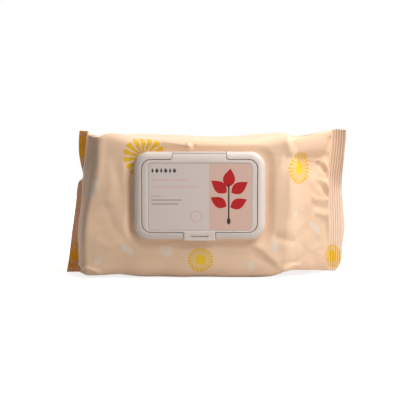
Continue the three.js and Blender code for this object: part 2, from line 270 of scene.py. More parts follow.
# Soft waves in the film, from plane waves with seeded directions
waves = np.random.default_rng(11)


def ripple(points, length, stretch, count=22):
    """Smooth random height, of about unit size, with waves of about length, longer by stretch."""
    total = np.zeros(points.shape[:-1])
    for _ in range(count):
        way = waves.normal(size=3) / np.array(stretch)
        way *= 2 * math.pi / (length * waves.uniform(0.7, 1.5) * np.linalg.norm(way * np.array(stretch)))
        total += np.cos(points @ way + waves.uniform(0, 2 * math.pi))
    return total * math.sqrt(2 / count)


def crumple(points, cell, stretch):
    """Height of film crushed into cells with sharp valleys between them, 0 to 1."""
    low, high = points.reshape(-1, 3).min(0) - cell, points.reshape(-1, 3).max(0) + cell
    count = int(np.prod((high - low) / (np.array(stretch) * cell)))
    seeds = waves.uniform(low, high, (count, 3)) / np.array(stretch)
    flat_points = points.reshape(-1, 3) / np.array(stretch)
    nearest = np.full(len(flat_points), 1e9)
    second = np.full(len(flat_points), 1e9)
    for seed in seeds:
        away = ((flat_points - seed) ** 2).sum(1)
        closer = away < nearest
        second = np.where(closer, nearest, np.minimum(second, away))
        nearest = np.where(closer, away, nearest)
    rise = (np.sqrt(second) - np.sqrt(nearest)) / cell
    return (1 - np.exp(-3.2 * rise)).reshape(points.shape[:-1])


# Loose film crumples more towards both ends, but is pulled smooth at the top right
STACK_MIDDLE_X = -8.6
slack = ease(np.abs(x - STACK_MIDDLE_X), 66, 92) * np.where(x > 0, 1 - 0.8 * ease(z, 76, 84), 1)
free = ease(lid_away, 0.5, 8)
free[:, ~front] = 1
puff += 0.28 * ripple(film, 34, (1, 1, 1)) * free
puff += 0.12 * ripple(film, 13, (1.6, 1, 1)) * free
puff += 0.16 * ripple(film, 11, (2.6, 1, 1)) * slack
puff += 0.5 * crumple(film, 17, (1.7, 1.2, 1)) * slack
puff -= 0.16 * crumple(film, 9, (2.2, 1.2, 1)) * slack


def fold(line, height, above, below):
    """Crease along a line of points x, z, which stands height out; widths of its two sides."""
    best = np.full(x.shape, 1e9)
    side = np.ones(x.shape)
    fade = np.zeros(x.shape)
    line = np.array(line, float)
    lengths = np.linalg.norm(np.diff(line, axis=0), axis=1)
    start = 0.0
    for (x0, z0), (x1, z1), length in zip(line[:-1], line[1:], lengths):
        t = np.clip(((x - x0) * (x1 - x0) + (z - z0) * (z1 - z0)) / length**2, 0, 1)
        dx, dz = x - x0 - t * (x1 - x0), z - z0 - t * (z1 - z0)
        away = np.hypot(dx, dz)
        nearer = away < best
        best = np.where(nearer, away, best)
        side = np.where(nearer, np.sign((x1 - x0) * dz - (z1 - z0) * dx), side)
        fade = np.where(nearer, (start + t * length) / lengths.sum(), fade)
        start += length
    width = np.where(side > 0, above, below)
    ends = np.clip(np.sin(math.pi * np.clip(fade, 0.02, 0.98)) * 2.2, 0, 1)
    return height * np.exp(-((best / width) ** 1.5)) * ends


creases = np.zeros_like(x)
for line, height, above, below in [
    # Where the right end is pinched into the fin
    ([(58, 89), (68, 87), (80, 85.4), (97, 84)], -3.1, 3.4, 11.0),
    ([(79, 84.6), (84, 83.6), (88.6, 83)], 1.2, 1.6, 0.9),
    ([(84.5, 82.4), (88, 78.6), (91.4, 73)], -2.1, 1.4, 1.3),
    ([(89, 84), (91.5, 79.4), (94, 72.5)], 1.5, 1.4, 1.2),
    ([(84, 71.8), (89, 70.6), (95, 69.6)], -1.1, 1.3, 0.8),
    ([(89, 69), (93, 63), (95, 56)], 1.9, 2.4, 2.0),
    ([(84.5, 68), (89.5, 60), (94, 54.6)], -1.1, 1.8, 1.4),
    ([(78, 58.6), (82, 55.4), (88, 54), (94.6, 54.8)], 1.2, 1.6, 1.3),
    ([(79.5, 53), (84, 49.6), (89, 48.4), (94.6, 49.2)], -1.1, 1.6, 1.7),
    ([(81, 46.6), (88, 44), (94.6, 43.6)], 1.0, 1.2, 2.6),
    ([(93.2, 45), (95, 33), (96, 21)], 0.9, 1.1, 1.8),
    ([(90.4, 42), (92, 30), (93, 19)], -0.8, 1.8, 1.8),
    ([(96, 101), (93, 92), (90.5, 84)], -2.0, 2.6, 2.6),
    # The stack's right edge and the folds that run off its corners
    ([(61.5, 103), (64.8, 92), (70, 78)], 0.8, 1.2, 2.8),
    ([(66, 100), (71, 88), (74, 70)], -0.8, 3.0, 3.0),
    ([(64.2, 76), (64.3, 44)], 0.3, 0.7, 1.2),
    ([(33, 28), (46, 20.5), (59, 8)], 1.3, 5.0, 2.0),
    ([(36, 19), (48, 12.5), (58, 5)], -0.7, 2.4, 3.0),
    ([(57, 9.5), (64, 12), (70, 10)], -0.6, 2.0, 2.0),
    ([(58.5, 5.4), (66, 9.6), (73, 9)], 1.0, 1.6, 2.4),
    ([(52, 32), (60, 29.4), (68, 26)], -1.2, 3.0, 3.0),
    ([(76, 60), (77, 36), (74, 18)], 0.5, 3.6, 3.6),
    # Along the front's top edge
    ([(-27, 98.4), (-15, 97.2), (-5.4, 95.2)], 0.9, 2.6, 1.5),
    ([(-4.8, 101), (-5.2, 97), (-4.6, 93.6)], -1.0, 1.6, 1.0),
    ([(-8.6, 99), (-7.6, 96.4), (-6.6, 94)], 0.8, 1.2, 1.2),
    ([(20, 97.6), (42, 97.2)], 0.3, 2.0, 2.0),
    # Soft dents in the front, left of the lid
    ([(-70.5, 100), (-71, 80), (-74.5, 58)], 0.7, 2.6, 2.6),
    ([(-60, 84), (-54, 58), (-55, 40)], -0.6, 5.0, 5.0),
    ([(-69, 58), (-61, 38), (-52, 26)], -0.6, 5.0, 4.0),
    ([(-66, 88), (-62, 70), (-66, 50)], 0.35, 4.0, 4.0),
    ([(-77, 30), (-66, 24), (-52, 26)], 0.4, 4.0, 4.0),
    ([(-88, 8), (-83, 8.8), (-78, 6.8), (-71, 4.4)], 1.1, 1.3, 0.9),
    ([(-88, 5.4), (-83, 6), (-78, 4.2), (-73, 2.2)], -1.2, 1.0, 1.0),
]:
    creases += fold(line, height, above, below)
puff[:, front] += creases[:, front]

# Thin, flattened ends can't be pushed in as far as the film behind them, and the fins not at all
DEEPEST_DENT = 0.55
depth = (fullness * HALF_STACK)[:, None]
puff = np.maximum(puff, -DEEPEST_DENT * np.maximum(depth - 0.6, 0))
puff *= ease(depth, 0.3, 1.1)

# All of that moves the film along its outward normal
by_x = np.gradient(film, axis=0)
by_ring = (np.roll(film, -1, axis=1) - np.roll(film, 1, axis=1)) / 2
outward = np.cross(by_x, by_ring)
outward /= np.maximum(np.linalg.norm(outward, axis=-1, keepdims=True), 1e-9)
film += outward * puff[..., None]

# Fins: thicker where the tucked side panels lie between the front and back films, ribbed by
# the sealing jaws, and swayed out of line; the left one is bent back over its upper part.
TOP_TUCK_LINE = (70.4, 71.8)
FOOT_TUCK_LINE = (18.6, 17.4)
for k, root_line, sign in ((LEFT_FIN_ZONE, LEFT_ROOT, -1), (RIGHT_FIN_ZONE, RIGHT_ROOT, 1)):
    in_fin = zone == k
    fin = film[in_fin]
    height = fin[..., 2]
    out = sign * (fin[..., 0] - curve(height, root_line))
    tucked = np.maximum(ease(height, *TOP_TUCK_LINE), ease(height, *FOOT_TUCK_LINE))
    fin[..., 1] *= 1 + (TUCKED_FIN_HALF / FIN_HALF - 1) * tucked * ease(out, 0, 0.8)
    # The ribs start just past the fin's root and stop short of its cut edge
    groove = (0.5 - 0.5 * np.cos(2 * math.pi * out / RIB_PITCH)) ** 2
    fin[..., 1] += RIB_HEIGHT * groove * ease(out, 0.3, 1.2) * ease(out, 9.6, 8.6)
    if k == RIGHT_FIN_ZONE:
        fin[..., 1] += curve(height, RIGHT_SWAY) * (out / FIN_WIDTH) ** 1.3
    else:
        turned = np.radians(curve(height, LEFT_BEND)) * ease(out, 0, 3)
        fin[..., 0] = curve(height, root_line) - out * np.cos(turned)
        fin[..., 1] += out * np.sin(turned)
    film[in_fin] = fin

# Nothing of the film reaches through the surface that the pack stands on
FILM_FOOT = 0.02
film[..., 2] = np.maximum(film[..., 2], FILM_FOOT)

# Place of each point along the film laid flat, for its print
lengths = np.zeros(film.shape[:2])
steps = np.linalg.norm(np.diff(film[..., :2], axis=0), axis=2)
lengths[1:] = np.cumsum(steps, axis=0)
for j in range(film.shape[1]):
    lengths[:, j] -= np.interp(0, film[:, j, 0], lengths[:, j])

row_count, ring_size = film.shape[:2]
verts = film + np.array([LID_X, STACK_MIDDLE_Y, 0])
faces = []
face_uv = []
flat = np.concatenate([girth, PANEL_ENDS[-1:]])
for i in range(row_count - 1):
    this_ring, next_ring = i * ring_size, (i + 1) * ring_size
    for j in range(ring_size):
        n = (j + 1) % ring_size
        faces.append((this_ring + j, next_ring + j, next_ring + n, this_ring + n))
        face_uv.append((
            (lengths[i, j], flat[j]), (lengths[i + 1, j], flat[j]),
            (lengths[i + 1, n], flat[j + 1]), (lengths[i, n], flat[j + 1]),
        ))
# The fins' cut ends are closed by a strip of triangles from the foot up to the head
foot_tuck = int(np.where(panel_of == FOOT_FRONT_HALF)[0][0])
head_tuck = int(np.where(panel_of == HEAD_BACK_HALF)[0][0])
front_line = [(foot_tuck + k) % ring_size for k in range((head_tuck - foot_tuck) % ring_size + 1)]
back_line = list(range(foot_tuck, head_tuck - 1, -1))
for i in (0, row_count - 1):
    a, b = 0, 0
    while a < len(front_line) - 1 or b < len(back_line) - 1:
        next_a = film[i, front_line[min(a + 1, len(front_line) - 1)], 2]
        next_b = film[i, back_line[min(b + 1, len(back_line) - 1)], 2]
        if b == len(back_line) - 1 or (a < len(front_line) - 1 and next_a <= next_b):
            corner = [front_line[a], front_line[a + 1], back_line[b]]
            a += 1
        else:
            corner = [front_line[a], back_line[b + 1], back_line[b]]
            b += 1
        if len(set(corner)) == 3:
            if i == 0:
                corner = corner[::-1]
            faces.append(tuple(i * ring_size + j for j in corner))
            face_uv.append(tuple((lengths[i, j], flat[j]) for j in corner))

# Lengthwise seam: the tube's two edges, welded face to face and folded flat on the back. Where it
# lies on the film laid flat, how far it stands off, and the waves that the sealing wheels left.
SEAM_PLACE = (194, 206.5)
SEAM_LIFT = 0.7
SEAM_FREE_EDGE = 0.3
SEAM_CRIMP = 0.11
SEAM_PITCH = 1.5
seam_columns = np.where(back & (girth > SEAM_PLACE[0]) & (girth < SEAM_PLACE[1]))[0]
seam_rows = np.where((zone >= LEFT_END) & (zone <= RIGHT_END) & (fullness > 0.03))[0]
patch = verts[np.ix_(seam_rows, seam_columns)]
patch_out = outward[np.ix_(seam_rows, seam_columns)]
across = np.linspace(0, 1, len(seam_columns))[None, :, None]
crimp = SEAM_CRIMP * np.cos(2 * math.pi * patch[..., 2:3] / SEAM_PITCH)
lifted = SEAM_LIFT + SEAM_FREE_EDGE * (1 - across) + crimp + 0.12 * np.sin(patch[..., 0:1] / 9)
seam_outer = patch + patch_out * lifted
seam_inner = patch - patch_out * 0.1
seam_ring = np.concatenate([seam_outer, seam_inner[:, ::-1]], axis=1)
seam_size = seam_ring.shape[1]
seam_start = row_count * ring_size
seam_uv = np.concatenate([flat[seam_columns], flat[seam_columns][::-1]])
seam_lengths = lengths[seam_rows, seam_columns[0]]
for i in range(len(seam_rows) - 1):
    left, right = seam_lengths[i], seam_lengths[i + 1]
    for j in range(seam_size):
        n = (j + 1) % seam_size
        a, b = seam_start + i * seam_size, seam_start + (i + 1) * seam_size
        faces.append((a + j, b + j, b + n, a + n))
        face_uv.append(((left, seam_uv[j]), (right, seam_uv[j]), (right, seam_uv[n]), (left, seam_uv[n])))
for i, order in ((0, 1), (len(seam_rows) - 1, -1)):
    loop = list(range(seam_size))[::order]
    faces.append(tuple(seam_start + i * seam_size + j for j in loop))
    face_uv.append(tuple((seam_lengths[i], seam_uv[j]) for j in loop))

film_mesh = bpy.data.meshes.new("pouch_film")
all_verts = np.vstack([verts.reshape(-1, 3), seam_ring.reshape(-1, 3)]) * MM
film_mesh.from_pydata(all_verts.tolist(), [], faces)
uv_layer = film_mesh.uv_layers.new(name="film_flat")
uv_layer.data.foreach_set("uv", (np.array([c for face in face_uv for c in face]) * MM).ravel())
# Film with no wipes behind it, which lets light through, and the right fin, which is painted paler as
# painted light
film_only = np.zeros(len(all_verts), np.float32)
film_only[:seam_start] = ease(1 - np.repeat(fullness, ring_size), 0.1, 0.5)
film_only[:seam_start] *= np.where(film[..., 0] > 0, 0.3, 0.85).ravel()
right_fin_painted_light = np.zeros(len(all_verts), np.float32)
right_fin_painted_light[:seam_start] = np.repeat(zone == RIGHT_FIN_ZONE, ring_size)
for name, values in (("film_only", film_only), ("right_fin_painted_light", right_fin_painted_light)):
    attribute = film_mesh.attributes.new(name, "FLOAT", "POINT")
    attribute.data.foreach_set("value", values)
film_mesh.validate()
film_mesh.shade_smooth()
film_mesh.set_sharp_from_angle(angle=math.radians(58))


def in_scene(name, data):
    """New object in the scene, with a mesh, a lamp or a camera as its data."""
    made = bpy.data.objects.new(name, data)
    bpy.context.scene.collection.objects.link(made)
    return made


pouch = in_scene("pouch_film", film_mesh)


def linear(hex_colour):
    """Linear colour, with alpha, of an sRGB hex value."""
    parts = [int(hex_colour[i : i + 2], 16) / 255 for i in (1, 3, 5)]
    return tuple(c / 12.92 if c <= 0.04045 else ((c + 0.055) / 1.055) ** 2.4 for c in parts) + (1.0,)


def add(material, kind, *inputs, named=None, **settings):
    """Adds a shader node; inputs fill its sockets in order, a node among them by its first output."""
    tree = material.node_tree
    made = tree.nodes.new("ShaderNode" + kind)
    for name, value in settings.items():
        setattr(made, name, value)
    sockets = [(k, value) for k, value in enumerate(inputs) if value is not None]
    for socket, value in sockets + list((named or {}).items()):
        if isinstance(value, bpy.types.Node):
            value = value.outputs[0]
        if isinstance(value, bpy.types.NodeSocket):
            tree.links.new(value, made.inputs[socket])
        else:
            made.inputs[socket].default_value = value
    return made


def new_material(name):
    """Material with an empty node tree."""
    material = bpy.data.materials.new(name)
    material.use_nodes = True
    material.node_tree.nodes.clear()
    return material


# Matt printed PE laminate: a satin skin, so its folds shade softly, with daisies and pale petals
# printed on a peach ground. Where no wipes lie behind it, light comes through it.
PEACH_DEEP, PEACH_LIGHT = "#f4ceac", "#f8d3b2"
# Paler peach painted on the right fin alone, as painted light
PAINTED_LIGHT_PEACH = "#f8e6d8"
DAISY_DEEP, DAISY_BRIGHT = "#eebb1c", "#f7c91e"
PALE_PETAL = "#eee6de"
laminate = new_material("matt_pe_laminate")
flat_film = add(laminate, "UVMap", uv_map="film_flat")
# The print repeats on the back, half the girth further round
split = add(laminate, "SeparateXYZ", flat_film)
half_girth = PANEL_ENDS[BACK_PANEL] * MM
repeat = add(laminate, "Math", split.outputs[1], half_girth, operation="MODULO")
print_place = add(laminate, "CombineXYZ", split.outputs[0], repeat, 0.0)
# Width of a petal as a share of the room that it has, on daisies with few petals and with many;
# its root, as a share of that; and its round tip, as a share of the daisy's reach
BROAD_PETAL, SLIM_PETAL = 0.58, 0.56
PETAL_ROOT = 0.14
PETAL_SWELL = 1.7
PETAL_TIP = 0.115
PETAL_BLEED, DISC_BLEED = 0.12, 0.2


def daisy(centre, reach, disc, petals, turn):
    """Share of ink of a daisy, and of its disc, at a place on the flat film in mm."""
    offset = add(laminate, "VectorMath", print_place, (centre[0] * MM, centre[1] * MM, 0),
                 operation="SUBTRACT")
    axes = add(laminate, "SeparateXYZ", offset)
    radius = add(laminate, "VectorMath", offset, operation="LENGTH").outputs["Value"]
    angle = add(laminate, "Math", axes.outputs[1], axes.outputs[0], operation="ARCTAN2")
    # 64 whole turns are added so that the count of petals is never below zero
    turns = add(laminate, "Math", angle, petals / (2 * math.pi), turn + 64, operation="MULTIPLY_ADD")
    within = add(laminate, "Math", turns, operation="FRACT")
    off_line = add(laminate, "Math", within, 0.5, operation="SUBTRACT")
    across = add(laminate, "Math", off_line, 2 * math.pi / petals, operation="MULTIPLY")
    sideways = add(laminate, "Math", across, radius, operation="MULTIPLY")
    # Each petal is a club: a line that widens outwards and ends in a round tip
    start, tip = disc * 0.5 * MM, (reach - reach * PETAL_TIP) * MM
    grown = add(laminate, "MapRange", radius, start, tip, 0.0, 1.0)
    spine = add(laminate, "Math", grown, tip - start, start, operation="MULTIPLY_ADD")
    outwards = add(laminate, "Math", radius, spine, operation="SUBTRACT")
    near = add(laminate, "CombineXYZ", outwards, sideways, 0.0)
    from_spine = add(laminate, "VectorMath", near, operation="LENGTH").outputs["Value"]
    club = math.pi / petals * (BROAD_PETAL if petals < 20 else SLIM_PETAL) * reach * MM
    swell = add(laminate, "Math", grown, PETAL_SWELL, operation="POWER")
    width = add(laminate, "Math", swell, club, PETAL_ROOT * club, operation="MULTIPLY_ADD")
    inked = add(laminate, "Math", width, from_spine, operation="SUBTRACT")
    petal = add(laminate, "MapRange", inked, -PETAL_BLEED * MM, PETAL_BLEED * MM, 0.0, 1.0)
    outer, inner = (disc + DISC_BLEED) * MM, (disc - DISC_BLEED) * MM
    centre_disc = add(laminate, "MapRange", radius, outer, inner, 0.0, 1.0)
    return add(laminate, "Math", petal, centre_disc, operation="MAXIMUM"), centre_disc


def pointed_print(material, place, centre, length, width, turn, lean, bleed):
    """Share of ink of a petal or a leaf; lean makes one end blunter, bleed softens the edge."""
    local = add(material, "Mapping", place, vector_type="TEXTURE", named={
        "Location": (centre[0] * MM, centre[1] * MM, 0),
        "Rotation": (0, 0, math.radians(turn)),
        "Scale": (length / 2 * MM, length / 2 * MM, 1),
    })
    axes = add(material, "SeparateXYZ", local)
    square = add(material, "Math", axes.outputs[0], axes.outputs[0], operation="MULTIPLY")
    lens = add(material, "Math", square, -width / length, width / length, operation="MULTIPLY_ADD")
    leant = add(material, "Math", axes.outputs[0], lean, 1.0, operation="MULTIPLY_ADD")
    blunt = add(material, "Math", leant, 0.3, operation="MAXIMUM")
    edge = add(material, "Math", lens, blunt, operation="MULTIPLY")
    off_axis = add(material, "Math", axes.outputs[1], operation="ABSOLUTE")
    inked = add(material, "Math", edge, off_axis, operation="SUBTRACT")
    return add(material, "MapRange", inked, -bleed, bleed, 0.0, 1.0)


def together(material, shapes):
    """Share of ink of several shapes that are printed in one colour."""
    total = shapes[0]
    for shape in shapes[1:]:
        total = add(material, "Math", total, shape, operation="MAXIMUM")
    return total


# Middle, reach, disc's radius, count of petals and turn
daisies = [daisy(*sizes) for sizes in [
    ((-39, 87.2), 15.3, 1.4, 16, 0.1),
    ((75.6, 76.5), 12.2, 5.0, 24, 0.0),
    ((0.7, 12.9), 9.6, 3.9, 24, 0.3),
    ((108, 10.5), 8.6, 4.4, 24, 0.0),
    ((-116, 12), 9.5, 4.4, 24, 0.2),
    ((-108, 88), 15.5, 8.6, 20, 0.2),
]]
ink = together(laminate, [whole for whole, disc in daisies])
bright = together(laminate, [disc for whole, disc in daisies])

PETAL_LEAN, LOOSE_PETAL_BLEED = 0.45, 0.04
# Middle, length, width and turn
loose_petals = [
    ((-75.2, 65.0), 10.0, 6.6, 70),
    ((-76.6, 58.6), 8.0, 6.4, 110),
    ((-52.6, 21.0), 7.6, 5.6, 150),
    ((-49.6, 18.0), 7.2, 5.2, 120),
    ((-25.6, 19.4), 9.4, 5.4, 100),
    ((-22.4, 18.0), 9.4, 5.4, 80),
    ((-73.0, 10.0), 8.4, 5.0, 60),
    ((37.0, 8.0), 9.0, 5.2, 85),
    ((54.5, 22.0), 10.0, 5.4, 92),
    ((93.0, 30.0), 9.6, 6.4, 125),
    ((89.0, 34.0), 7.4, 4.6, 140),
    ((70.0, 43.0), 6.6, 4.6, 80),
    ((-10.0, 128.0), 9.0, 5.4, 30),
    ((52.0, 120.0), 9.0, 5.4, 150),
]
pale = together(laminate, [
    pointed_print(laminate, print_place, *sizes, PETAL_LEAN, LOOSE_PETAL_BLEED) for sizes in loose_petals
])

world_place = add(laminate, "TexCoord").outputs["Object"]
# The ink's faint unevenness, in patches of 38 mm
tone = add(laminate, "TexNoise", named={"Vector": world_place, "Scale": 1 / (38 * MM), "Detail": 3.0})
ground = add(laminate, "Mix", data_type="RGBA", named={
    0: tone, 6: linear(PEACH_DEEP), 7: linear(PEACH_LIGHT),
})
# Painted light: the right fin alone is painted paler, standing in for the brighter light that falls on it;
# the left fin keeps the plain print
painted_light_share = add(laminate, "Attribute", attribute_name="right_fin_painted_light").outputs["Fac"]
with_fins = add(laminate, "Mix", data_type="RGBA", named={
    0: add(laminate, "Math", painted_light_share, 0.4, operation="MULTIPLY"),
    6: ground.outputs[2], 7: linear(PAINTED_LIGHT_PEACH),
})
with_petals = add(laminate, "Mix", data_type="RGBA", named={
    0: add(laminate, "Math", pale, 0.42, operation="MULTIPLY"),
    6: with_fins.outputs[2], 7: linear(PALE_PETAL),
})
yellow = add(laminate, "Mix", data_type="RGBA", named={
    0: bright, 6: linear(DAISY_DEEP), 7: linear(DAISY_BRIGHT),
})
printed = add(laminate, "Mix", data_type="RGBA", named={
    0: add(laminate, "Math", ink, 0.95, operation="MULTIPLY"),
    6: with_petals.outputs[2], 7: yellow.outputs[2],
})
# Fine crinkles of handled film, 6.7 mm apart
crinkle = add(laminate, "TexNoise", named={
    "Vector": world_place, "Scale": 1 / (6.7 * MM), "Detail": 4.0, "Roughness": 0.6,
})
crinkle_bump = add(laminate, "Bump", named={"Strength": 0.5, "Distance": 0.12 * MM, "Height": crinkle})
sheen = add(laminate, "MapRange", crinkle, 0.3, 0.7, 0.4, 0.54)
skin = add(laminate, "BsdfPrincipled", named={
    "Base Color": printed.outputs[2], "Roughness": sheen, "IOR": 1.5, "Specular IOR Level": 0.24,
    "Normal": crinkle_bump,
})
# Light that falls on the bare film's far side glows through it
behind = add(laminate, "BsdfTranslucent", named={"Color": printed.outputs[2]})
bare = add(laminate, "Attribute", attribute_name="film_only").outputs["Fac"]
lets_through = add(laminate, "Math", bare, 0.3, operation="MULTIPLY")
surface = add(laminate, "MixShader", lets_through, skin, behind)
add(laminate, "OutputMaterial", surface)
film_mesh.materials.append(laminate)
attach(pouch, "pack")
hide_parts("film_pouch")

# Lid and seal are drawn in the lid's own frame: x along the pack, v up the panel and level out of
# the film. An outline is a list of corners, each x, v and the radius it is rounded to.
FRONT_FILM_Y = -21.85
LID_TO_PACK = Matrix((
    (1, 0, 0, LID_X * MM),
    (0, 0, -1, FRONT_FILM_Y * MM),
    (0, 1, 0, LID_Z * MM),
    (0, 0, 0, 1),
))


def outline(corners, inset=0.0, steps=14):
    """Points round an outline moved in by inset; every corner keeps its number of points."""
    points = []
    count = len(corners)
    for k, (cx, cv, radius) in enumerate(corners):
        before = Vector(corners[k - 1][:2])
        at = Vector((cx, cv))
        after = Vector(corners[(k + 1) % count][:2])
        way_in, way_out = (at - before).normalized(), (after - at).normalized()
        left_in, left_out = Vector((-way_in.y, way_in.x)), Vector((-way_out.y, way_out.x))
        turn = way_in.angle_signed(way_out) * -1
        moved = at + (left_in + left_out) * (inset / (1 + left_in.dot(left_out)))
        round_to = max(radius - inset * math.copysign(1, turn), 0.02)
        reach = round_to * math.tan(abs(turn) / 2)
        hub = moved - way_in * reach + left_in * math.copysign(round_to, turn)
        spoke = moved - way_in * reach - hub
        for step in range(steps + 1):
            arm = spoke.copy()
            arm.rotate(Matrix.Rotation(turn * step / steps, 2))
            points.append(hub + arm)
    return points


def moulding(name, corners, profile, steps=14):
    """Closed solid through copies of an outline; profile has the inset and level of each."""
    rings = [[(p.x, p.y, level) for p in outline(corners, inset, steps)] for inset, level in profile]
    size = len(rings[0])
    sides = []
    for ring in range(len(rings) - 1):
        for j in range(size):
            n = (j + 1) % size
            sides.append((ring * size + j, ring * size + n, (ring + 1) * size + n, (ring + 1) * size + j))
    sides.append(tuple(range(size))[::-1])
    sides.append(tuple((len(rings) - 1) * size + j for j in range(size)))
    mesh = bpy.data.meshes.new(name)
    mesh.from_pydata([Vector(p) * MM for ring in rings for p in ring], [], sides)
    return in_scene(name, mesh)


def rounded(radius, top, steps=8, inwards=None):
    """Profile of an edge rounded over, up to its top; inwards makes it oval."""
    inwards = inwards or radius
    turns = [math.pi / 2 * k / steps for k in range(steps + 1)]
    return [(inwards * (1 - math.cos(a)), top - radius + radius * math.sin(a)) for a in turns]


def flared(radius, top, offset, steps=5):
    """Profile of a cutter that leaves a rounded edge on what it cuts."""
    turns = [math.radians(84) * k / steps for k in range(steps + 1)]
    rise = [(offset - radius * (1 - math.cos(a)), top - radius + radius * math.sin(a)) for a in turns]
    return rise + [(rise[-1][0], top + 6)]


def block(width, height, radius, middle=(0.0, 0.0)):
    """Outline of a rectangle with equal round corners."""
    x0, v0 = middle
    return [
        (x0 - width / 2, v0 - height / 2, radius),
        (x0 + width / 2, v0 - height / 2, radius),
        (x0 + width / 2, v0 + height / 2, radius),
        (x0 - width / 2, v0 + height / 2, radius),
    ]


def carve(body, tool, how="DIFFERENCE"):
    """Joins a tool to a body, or cuts it away, and clears the tool."""
    change = body.modifiers.new("carve", "BOOLEAN")
    change.operation = how
    change.object = tool
    change.solver = "MANIFOLD"
    bpy.context.view_layer.update()
    made = bpy.data.meshes.new_from_object(body.evaluated_get(bpy.context.evaluated_depsgraph_get()))
    body.modifiers.clear()
    old = body.data
    body.data = made
    bpy.data.meshes.remove(old)
    used = tool.data
    bpy.data.objects.remove(tool)
    bpy.data.meshes.remove(used)


# Slivers up to this wide, which cuts can leave, are closed up
SLIVER = 0.003


def finish_moulding(made, angle):
    """Stands a moulding on the pouch and shades its flats flat and its roundings smooth."""
    made.data.transform(LID_TO_PACK)
    shell = bmesh.new()
    shell.from_mesh(made.data)
    bmesh.ops.remove_doubles(shell, verts=shell.verts, dist=SLIVER * MM)
    bmesh.ops.dissolve_degenerate(shell, edges=shell.edges, dist=SLIVER * MM)
    shell.to_mesh(made.data)
    shell.free()
    made.data.materials.clear()
    made.data.shade_smooth()
    made.data.set_sharp_from_angle(angle=math.radians(angle))
    even = made.modifiers.new("even", "WEIGHTED_NORMAL")
    even.keep_sharp = True


# Peel-off seal: paper-thin printed film that closes the cut in the pouch, with a pull tab.
# Its edge is die cut and it lies flat inside the lid's opening.
BOND = 0.3
SEAL_FACE = 0.5
seal_outline = [
    (-28, -4.5, 3), (-22, -4.5, 1.5), (-22, -13, 6.5), (25, -13, 9),
    (25, 13, 9), (-22, 13, 6.5), (-22, 4.5, 1.5), (-28, 4.5, 3),
]
seal_edge = [(0, BOND), (0, 0.44), (0.02, 0.48), (0.06, SEAL_FACE)]
seal = moulding("seal_sheet", seal_outline, seal_edge, 10)
finish_moulding(seal, 40)
# White PET film, glossier than the pouch and gently rippled by its glue, every 8 mm
seal_stock = new_material("white_pet_film")
seal_place = add(seal_stock, "TexCoord").outputs["Object"]
seal_crinkle = add(seal_stock, "TexNoise", named={
    "Vector": seal_place, "Scale": 1 / (8 * MM), "Detail": 2.0,
})
seal_bump = add(seal_stock, "Bump", named={
    "Strength": 0.6, "Distance": 0.15 * MM, "Height": seal_crinkle,
})
seal_sheen = add(seal_stock, "MapRange", seal_crinkle, 0.3, 0.7, 0.22, 0.34)
seal_skin = add(seal_stock, "BsdfPrincipled", named={
    "Base Color": linear("#efe8e1"), "Roughness": seal_sheen, "IOR": 1.55, "Normal": seal_bump,
})
add(seal_stock, "OutputMaterial", seal_skin)
seal.data.materials.append(seal_stock)
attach(seal, "pack")
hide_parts("peel_seal")

# Lid frame: one polypropylene moulding, glued to the film. A rounded rim stands round the pocket
# that the cover drops into, with gaps for the hinge leaf and the thumb tab.
# Levels out of the film, the cover's outline and the gap round it, and the leaf and the tab's gap
POCKET_FLOOR = 1.5
FACE = 6.8
RIM_ROUND = 3.0
GAP = 0.4
COVER_W, COVER_H, COVER_CORNER = 81.8, 52.1, 6.5
LEAF_HALF, TAB_GAP_HALF = 19, 11.25
# The opening for the wipes, the upstand round it and the rounding of what is cut
OPENING_LENGTH, OPENING_HEIGHT = 58, 34
SPOUT_WALL, SPOUT_TOP, SPOUT_ROUND = 1.2, 3.7, 0.4
MOUTH_ROUND = 0.35
BASE = block(2 * LID_HALF_LENGTH, 2 * LID_HALF_HEIGHT, LID_CORNER)
OPENING = block(OPENING_LENGTH, OPENING_HEIGHT, 12)
# Past the frame's edge, for outlines that run off it
OFF_RIM = 36

# Polypropylene: pale cream, faintly cloudy and satin, because its mould was spark eroded
polypropylene = new_material("moulded_polypropylene")
pp_place = add(polypropylene, "TexCoord").outputs["Object"]
pp_cloud = add(polypropylene, "TexNoise", named={
    "Vector": pp_place, "Scale": 1 / (25 * MM), "Detail": 2.0,
})
PP_DEEP, PP_LIGHT = "#dfd0c6", "#e3d5cb"
pp_tone = add(polypropylene, "Mix", data_type="RGBA", named={
    0: pp_cloud, 6: linear(PP_DEEP), 7: linear(PP_LIGHT),
})
# The mould's grain, 0.4 mm here, about ten times its real size, so that it shows at all
pp_grain = add(polypropylene, "TexNoise", named={
    "Vector": pp_place, "Scale": 1 / (0.4 * MM), "Detail": 1.0,
})
pp_bump = add(polypropylene, "Bump", named={"Strength": 0.25, "Distance": 0.02 * MM, "Height": pp_grain})
pp_sheen = add(polypropylene, "MapRange", pp_cloud, 0.3, 0.7, 0.34, 0.42)
pp_skin = add(polypropylene, "BsdfPrincipled", named={
    "Base Color": pp_tone.outputs[2], "Roughness": pp_sheen, "IOR": 1.49, "Normal": pp_bump,
})
add(polypropylene, "OutputMaterial", pp_skin)

